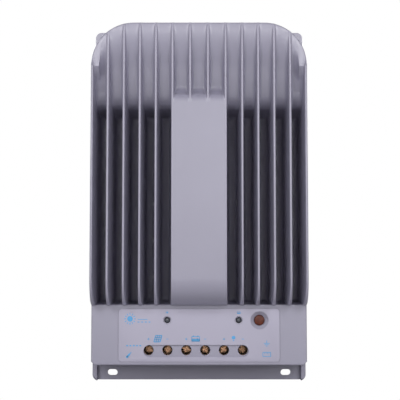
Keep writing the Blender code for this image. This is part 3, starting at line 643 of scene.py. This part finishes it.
def moulded(name, colour, rough=0.42, spread=0.12):
    """Moulded plastic with a fine spark-eroded grain."""
    g = Graph(name)
    g.set(Base_Color=g.ramp(g.noise(60.0, 3.0), *shades(colour, spread)))
    g.set(Roughness=g.span(g.noise(240.0, 2.0), rough - 0.06, rough + 0.08))
    g.set(Normal=g.bump(g.noise(1800.0, 2.0), 0.15, 0.0001))
    return g.material


def metal(name, colour, rough=0.3, brushed=None, spread=0.15):
    """Bare or plated metal. Brushed gives the direction that its fine lines run across."""
    g = Graph(name)
    stretch = brushed or (1.0, 1.0, 1.0)
    g.set(Base_Color=g.ramp(g.noise(90.0, 4.0, stretch), *shades(colour, spread)))
    g.set(Roughness=g.span(g.noise(500.0, 3.0, stretch), rough - 0.08, rough + 0.12))
    g.set(Normal=g.bump(g.noise(1500.0, 3.0, stretch), 0.12, 0.0001))
    g.shader.inputs["Metallic"].default_value = 1.0
    return g.material


def film(name, colour):
    """The label's matt polycarbonate film, with its fine embossed grain."""
    g = Graph(name)
    g.set(Base_Color=g.ramp(g.noise(18.0, 2.0), *shades(colour, 0.02)))
    g.set(Roughness=g.span(g.noise(300.0, 2.0), 0.36, 0.46))
    g.set(Normal=g.bump(g.noise(2400.0, 2.0), 0.12, 0.00008))
    g.shader.inputs["Specular IOR Level"].default_value = 0.4
    return g.material


def ink(name, colour):
    """Screen-printed ink, slightly uneven in shade and gloss."""
    g = Graph(name)
    g.set(Base_Color=g.ramp(g.noise(350.0, 3.0), *shades(colour, 0.08)))
    g.set(Roughness=g.span(g.noise(900.0, 2.0), 0.42, 0.55))
    g.set(Normal=g.bump(g.noise(3000.0, 2.0), 0.1, 0.00005))
    return g.material


def tinted(name, colour, rough, coat, spread=0.15):
    """Glossy tinted plastic, as in lamp lenses and the button."""
    g = Graph(name)
    g.set(Base_Color=g.ramp(g.noise(420.0, 3.0), *shades(colour, spread)))
    g.set(Roughness=g.span(g.noise(700.0, 2.0), rough - 0.04, rough + 0.06))
    g.set(Normal=g.bump(g.noise(1400.0, 2.0), 0.06, 0.00006))
    g.shader.inputs["Coat Weight"].default_value = coat
    g.shader.inputs["Coat Roughness"].default_value = 0.12
    return g.material


def board_mask(name):
    """Green solder mask over faint tracks."""
    g = Graph(name)
    tracks = g.noise(220.0, 1.0, (1.0, 1.0, 3.0))
    g.set(Base_Color=g.ramp(tracks, (0.006, 0.055, 0.022), (0.012, 0.11, 0.04), 0.46, 0.54))
    g.set(Roughness=g.span(g.noise(400.0, 2.0), 0.28, 0.4))
    g.set(Normal=g.bump(tracks, 0.2, 0.0001))
    return g.material


PAINT = (0.32, 0.307, 0.395)
FINISH = {
    "housing_paint": powder_coat("powder_coat", PAINT),
    "cover_sheet": metal("cover_sheet", (0.55, 0.55, 0.57), 0.36, (1.0, 1.0, 22.0), 0.06),
    "label_film": film("label_film", (0.433, 0.414, 0.517)),
    "button_plastic": tinted("button_plastic", (0.10, 0.014, 0.003), 0.36, 0.0, 0.35),
    "lamp_lens": tinted("lamp_lens", (0.085, 0.09, 0.105), 0.34, 0.1),
    "terminal_brass": metal("terminal_brass", (0.72, 0.43, 0.27), 0.3, None, 0.35),
    "zinc_steel": metal("zinc_steel", (0.6, 0.6, 0.6), 0.3),
    "contact_copper": metal("contact_copper", (0.62, 0.55, 0.48), 0.32),
    "black_plastic": moulded("black_plastic", (0.018, 0.018, 0.02)),
    "green_plastic": moulded("green_plastic", (0.012, 0.16, 0.045)),
    "circuit_board": board_mask("circuit_board"),
    "winding": metal("winding", (0.5, 0.2, 0.08), 0.34, (1.0, 8.0, 1.0), 0.25),
    "sleeve": moulded("sleeve", (0.02, 0.028, 0.07), 0.3),
    "silicone": moulded("silicone", (0.28, 0.29, 0.31), 0.8, 0.08),
}
INK = ink("print_ink", (0.10, 0.36, 0.68))


def finish_cad_nodes():
    """Gives every CAD node the finish of its slot."""
    slots = {s["node"]: s["material_slot"] for s in frame["record"]["subparts"]}
    for name, obj in frame["nodes"].items():
        obj.data.materials.clear()
        obj.data.materials.append(FINISH[slots[name]])


def dress(piece, body, slot, *nodes, material=None):
    piece.data.materials.clear()
    piece.data.materials.append(material or FINISH[slot])
    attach(piece, body)
    if nodes:
        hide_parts(*nodes)
    return piece


# ---------------------------------------------------------------- label and print


def label_film():
    outline = rounded_outline(LABEL[1], LABEL[4], LABEL[5], 3.0, 3.0, 12)
    label = solid("label_film", add_prism, outline, LABEL[2], LABEL_FRONT, edge=0.08)
    holes = bmesh.new()
    low, high = LABEL[2] - 1.0, LABEL_FRONT + 1.0
    add_prism(holes, slot_outline(*STRIP), low, high)
    for x in LAMPS.values():
        add_turned(holes, [(LAMP_MOUTH + 0.1, low), (LAMP_MOUTH + 0.1, high)], x, LAMP_Z, 48)
    add_turned(holes, [(DISH_RADIUS + 0.1, low), (DISH_RADIUS + 0.1, high)], BUTTON_X, LAMP_Z, 72)
    return combine(label, link("label_holes", holes, smooth=0), "DIFFERENCE")


PRINT_LOW, PRINT_HIGH = LABEL_FRONT + 0.005, LABEL_FRONT + 0.03


def bar(x0, z0, x1, z1, width):
    """The outline of a straight stroke."""
    run = Vector((x1 - x0, z1 - z0)).normalized() * (width / 2)
    side = Vector((-run.y, run.x))
    start = [(x0 + side.x, z0 + side.y), (x0 - side.x, z0 - side.y)]
    return start + [(x1 - side.x, z1 - side.y), (x1 + side.x, z1 + side.y)]


def frame_strokes(left, right, low, high, width, lean=0.0):
    """Four strokes round a rectangle, which may lean to the right."""
    a, b, c, d = (left, low), (right, low), (right + lean, high), (left + lean, high)
    return [bar(*p, *q, width) for p, q in ((a, b), (b, c), (c, d), (d, a))]


def plus(x, z, size, width):
    return [bar(x - size / 2, z, x + size / 2, z, width), bar(x, z - size / 2, x, z + size / 2, width)]


def sun_mark(x, z, radius, rays, width):
    shapes = [circle(x, z, radius, 28)]
    for i in range(rays):
        turn = 2 * math.pi * i / rays
        c, s = math.cos(turn), math.sin(turn)
        near, far = radius * 1.4, radius * 2.1
        shapes.append(bar(x + c * near, z + s * near, x + c * far, z + s * far, width))
    return shapes


def panel_mark(x, z):
    shapes = frame_strokes(x - 3.3, x + 1.9, z - 2.6, z + 2.6, 0.8, 1.4)
    for i in (1, 2):
        share = i / 3
        shapes.append(bar(x - 3.3 + 5.2 * share, z - 2.6, x - 1.9 + 5.2 * share, z + 2.6, 0.65))
        low = z - 2.6 + 5.2 * share
        shapes.append(bar(x - 3.3 + 1.4 * share, low, x + 1.9 + 1.4 * share, low, 0.65))
    return shapes


def battery_mark(x, z, scale=1.0):
    w, h = 3.2 * scale, 1.9 * scale
    shapes = frame_strokes(x - w, x + w, z - h, z + h, 0.6 * scale)
    shapes.append(bar(x - w, z - h * 0.45, x + w, z - h * 0.45, h * 1.1))
    for side in (-1, 1):
        post, top = x + side * w * 0.55, z + h + 0.5 * scale
        shapes.append(bar(post - 0.6 * scale, top, post + 0.6 * scale, top, 0.7 * scale))
    shapes += plus(x + w * 0.45, z, 1.4 * scale, 0.4 * scale)
    shapes.append(bar(x - w * 0.7, z, x - w * 0.25, z, 0.4 * scale))
    return shapes


def lamp_mark(x, z):
    bulb = arc(x, z + 0.7, 1.55, -50, 230, 24)
    caps = [bar(x - half, z - drop, x + half, z - drop, 0.45) for half, drop in ((0.75, 1.15), (0.6, 1.85))]
    return [bulb] + caps


def probe_mark(x, z):
    """A slanted rod with a thin lead: a temperature probe."""
    rod = Vector((1.0, 1.15)).normalized()
    shapes = [bar(x - 2.0 * rod.x, z - 2.0 * rod.y, x + 1.2 * rod.x, z + 1.2 * rod.y, 1.5)]
    shapes.append(circle(x - 2.2 * rod.x, z - 2.2 * rod.y, 0.95, 20))
    shapes.append(bar(x + 1.2 * rod.x, z + 1.2 * rod.y, x + 3.2 * rod.x, z + 3.2 * rod.y, 0.6))
    return shapes


def port_mark(x, z):
    shapes = frame_strokes(x - 3.2, x + 3.2, z - 1.7, z + 1.7, 0.5)
    for i in range(4):
        shapes.append(bar(x - 1.8 + 1.2 * i, z + 1.5, x - 1.8 + 1.2 * i, z + 0.2, 0.35))
    return shapes


def earth_mark(x, z):
    shapes = [bar(x, z + 2.4, x, z + 0.2, 0.5)]
    for half, drop in ((2.5, 0.0), (1.6, -1.1), (0.7, -2.2)):
        shapes.append(bar(x - half, z + drop, x + half, z + drop, 0.5))
    return shapes


def label_print():
    """Generic marks: a plain sun, plus and minus signs, and small pictures for panel, battery and lamp."""
    row = POLE_Z + 9.3
    shapes = sun_mark(-56.8, -97.0, 2.3, 12, 0.6)
    for i in range(4):
        shapes.append(bar(-50.6 + 3.0 * i, -99.6, -48.9 + 3.0 * i, -99.6, 0.75))
    shapes.append(bar(-50.6, -97.4, -42.4, -97.4, 0.5))
    for i, x in enumerate(POLES):
        shapes += plus(x, row, 2.0, 0.5) if i % 2 == 0 else [bar(x - 1.0, row, x + 1.0, row, 0.5)]
    shapes += panel_mark((POLES[0] + POLES[1]) / 2, row + 0.3)
    shapes += battery_mark((POLES[2] + POLES[3]) / 2, row + 0.1)
    shapes += lamp_mark((POLES[4] + POLES[5]) / 2, row + 0.4)
    shapes += sun_mark(LAMPS["led_pv"], LAMP_Z + 6.4, 0.65, 8, 0.28)
    shapes += battery_mark(LAMPS["led_battery"], LAMP_Z + 6.2, 0.42)
    for i in range(5):
        shapes.append(bar(-59.8 + 2.7 * i, -118.9, -58.2 + 2.7 * i, -118.9, 1.0))
    shapes += probe_mark(-57.6, -126.4)
    shapes += earth_mark(55.6, -117.0)
    shapes += port_mark(55.6, -126.0)
    bm = bmesh.new()
    for shape in shapes:
        add_prism(bm, shape, PRINT_LOW, PRINT_HIGH)
    return link("label_print", bm, smooth=0)


# ---------------------------------------------------------------- small parts


def button_cap():
    """The cap with its rounded front edge, retained flange and stem."""
    low, high = BUTTON[2], BUTTON[3]
    radius = 4.1
    profile = [(2.0, low), (2.0, 35.4), (5.0, 35.4), (5.0, 36.9), (radius, 36.9), (radius, high - 1.0)]
    for i in range(1, 7):
        turn = math.radians(90 * i / 6)
        profile.append((radius - 0.8 * (1 - math.cos(turn)), high - 1.0 + 0.8 * math.sin(turn)))
    profile += [(2.2, high - 0.1), (1.0, high - 0.03), (0.02, high)]
    return solid_turned("button_cap_fine", profile, BUTTON_X, LAMP_Z, 72)


def solid_turned(name, profile, x, z, sides):
    bm = bmesh.new()
    add_turned(bm, profile, x, z, sides)
    return link(name, bm)


def lamp_lens(name, x):
    box = millimetres(name)
    top, foot = box[3], box[2]
    profile = [(2.9, 31.2), (2.9, 32.2), (2.45, 32.2), (2.45, top - 2.4)]
    for i in range(1, 11):
        turn = math.radians(8.9 * i)
        profile.append((2.45 * math.cos(turn), top - 2.4 + 2.4 * math.sin(turn)))
    lens = solid_turned(name + "_lens", profile, x, LAMP_Z, 48)
    for side in (-1, 1):
        leg = (x + side * 1.27 - 0.25, x + side * 1.27 + 0.25)
        combine(lens, solid("leg", add_box, leg, (foot, 31.6), (LAMP_Z - 0.25, LAMP_Z + 0.25)), "UNION")
    return lens


SCREW_TURNS = (38.0, 97.0, 15.0, 62.0, 128.0, 80.0)


def terminal_screw(i):
    """A brass screw with a chamfered head, a driver slot crossed by a shorter one, and a grooved shank."""
    x, top, low = POLES[i - 1], SCREW[3], SCREW[2]
    profile = [(1.9, low), (2.35, low + 0.5)]
    rise = low + 0.6
    while rise < 24.6:
        profile += [(2.35, rise), (2.05, rise + 0.4)]
        rise += 0.8
    profile += [(2.2, 25.5), (3.4, 25.5), (3.6, 25.7), (3.6, top - 0.55), (3.45, top - 0.2)]
    profile += [(3.1, top - 0.02), (0.02, top)]
    screw = solid_turned(f"terminal_screw_{i}_fine", profile, x, POLE_Z, 48)
    cuts = solid("slot", add_box, (-4.0, 4.0), (top - 1.1, top + 1), (-0.5, 0.5))
    cross = solid("cross", add_box, (-0.5, 0.5), (top - 1.5, top + 1), (-1.9, 1.9))
    combine(cuts, cross, "UNION")
    turn = Matrix.Rotation(math.radians(SCREW_TURNS[i - 1]), 4, "Y")
    cuts.data.transform(Matrix.Translation(point(x, 0.0, POLE_Z)) @ turn)
    return combine(screw, cuts, "DIFFERENCE")


def cover_screw(i):
    box = millimetres(f"cover_screw_{i}")
    x, z = (box[0] + box[1]) / 2, (box[4] + box[5]) / 2
    profile = [(2.7, 0.05), (2.9, 0.12), (2.9, 0.25), (1.4, 1.7), (1.4, 8.2), (1.1, 8.5)]
    screw = solid_turned(f"cover_screw_{i}_fine", profile, x, z, 40)
    for a, b in ((1.6, 0.35), (0.35, 1.6)):
        combine(screw, solid("cross", add_box, (x - a, x + a), (-1.0, 0.9), (z - b, z + b)), "DIFFERENCE")
    return screw


# ---------------------------------------------------------------- stage


def camera():
    data = bpy.data.cameras.new("camera")
    data.lens, data.sensor_width = 82.49, 36.0
    obj = bpy.data.objects.new("camera", data)
    obj.location = (0.0008, -0.800, -0.0484)
    obj.rotation_euler = (math.radians(90 + 3.724), 0, 0)
    bpy.context.scene.collection.objects.link(obj)
    bpy.context.scene.camera = obj


def area_light(name, place, size, power):
    """A soft light aimed at the middle of the unit."""
    data = bpy.data.lights.new(name, "AREA")
    data.shape, data.size, data.size_y = "RECTANGLE", size[0], size[1]
    data.energy = power
    obj = bpy.data.objects.new(name, data)
    obj.location = place
    obj.rotation_euler = (-Vector(place)).to_track_quat("-Z", "Y").to_euler()
    bpy.context.scene.collection.objects.link(obj)


LIGHTS = {  # azimuth, elevation, distance, (width, height), power
    "near": (16.0, 8.0, 1.4, (0.35, 0.4), 2.9),
    "wide": (56.0, 6.0, 1.3, (0.5, 0.6), 1.8),
    "high": (26.0, 30.0, 1.3, (0.5, 0.5), 4.8),
    "rear": (142.0, 20.0, 1.6, (0.7, 0.7), 9.0),
}
AMBIENT = 0.01


def around(azimuth, elevation, distance):
    """A place round the unit: azimuth to the right of straight ahead, elevation above level."""
    a, e = math.radians(azimuth), math.radians(elevation)
    reach = math.cos(e) * distance
    return (math.sin(a) * reach, -math.cos(a) * reach, distance * math.sin(e))


def studio():
    """Soft lights on both sides, a faint even glow, and white behind everything."""
    world = bpy.data.worlds.new("world")
    bpy.context.scene.world = world
    world.use_nodes = True
    nodes, links = world.node_tree.nodes, world.node_tree.links
    background = nodes["Background"]
    background.inputs["Color"].default_value = (1, 1, 1, 1)
    background.inputs["Strength"].default_value = AMBIENT
    seen = nodes.new("ShaderNodeBackground")
    seen.inputs["Color"].default_value = (1, 1, 1, 1)
    path, mix = nodes.new("ShaderNodeLightPath"), nodes.new("ShaderNodeMixShader")
    links.new(path.outputs["Is Camera Ray"], mix.inputs["Fac"])
    links.new(background.outputs["Background"], mix.inputs[1])
    links.new(seen.outputs["Background"], mix.inputs[2])
    links.new(mix.outputs["Shader"], nodes["World Output"].inputs["Surface"])
    for name, (azimuth, elevation, distance, size, power) in LIGHTS.items():
        for side in (-1, 1):
            area_light(f"{name}_{side}", around(side * azimuth, elevation, distance), size, power)
    bpy.context.scene.view_settings.view_transform = "Standard"


FLOOR_REACH = 6000


def floor():
    """A plain pale floor. It is seen as white, and throws back the light of a mid grey."""
    bm = bmesh.new()
    low = -HALF_HEIGHT - 0.2
    ends = ((-1, -1), (1, -1), (1, 1), (-1, 1))
    corners = [point(x * FLOOR_REACH, rise * FLOOR_REACH, low) for x, rise in ends]
    bm.faces.new([bm.verts.new(p) for p in corners])
    obj = link("floor", bm, smooth=0)
    g = Graph("floor_paper")
    g.set(Base_Color=g.ramp(g.noise(1.5, 2.0), (0.50, 0.50, 0.50), (0.53, 0.53, 0.53)))
    g.set(Roughness=g.span(g.noise(40.0, 2.0), 0.8, 0.95))
    path, glow = g.nodes.new("ShaderNodeLightPath"), g.nodes.new("ShaderNodeEmission")
    mix = g.nodes.new("ShaderNodeMixShader")
    g.links.new(path.outputs["Is Camera Ray"], mix.inputs["Fac"])
    g.links.new(g.shader.outputs["BSDF"], mix.inputs[1])
    g.links.new(glow.outputs["Emission"], mix.inputs[2])
    g.links.new(mix.outputs["Shader"], g.nodes["Material Output"].inputs["Surface"])
    obj.data.materials.append(g.material)


def build():
    camera()
    studio()
    floor()
    finish_cad_nodes()
    dress(casting(), "root", "housing_paint", "heatsink_housing")
    dress(label_film(), "root", "label_film", "front_label")
    dress(label_print(), "root", "label_film", material=INK)
    dress(button_cap(), "button", "button_plastic", "button_cap")
    for name, x in LAMPS.items():
        dress(lamp_lens(name, x), "root", "lamp_lens", name)
    for i in range(1, 7):
        dress(terminal_screw(i), f"screw_{i}", "terminal_brass", f"terminal_screw_{i}")
        dress(cover_screw(i), "root", "zinc_steel", f"cover_screw_{i}")


build()
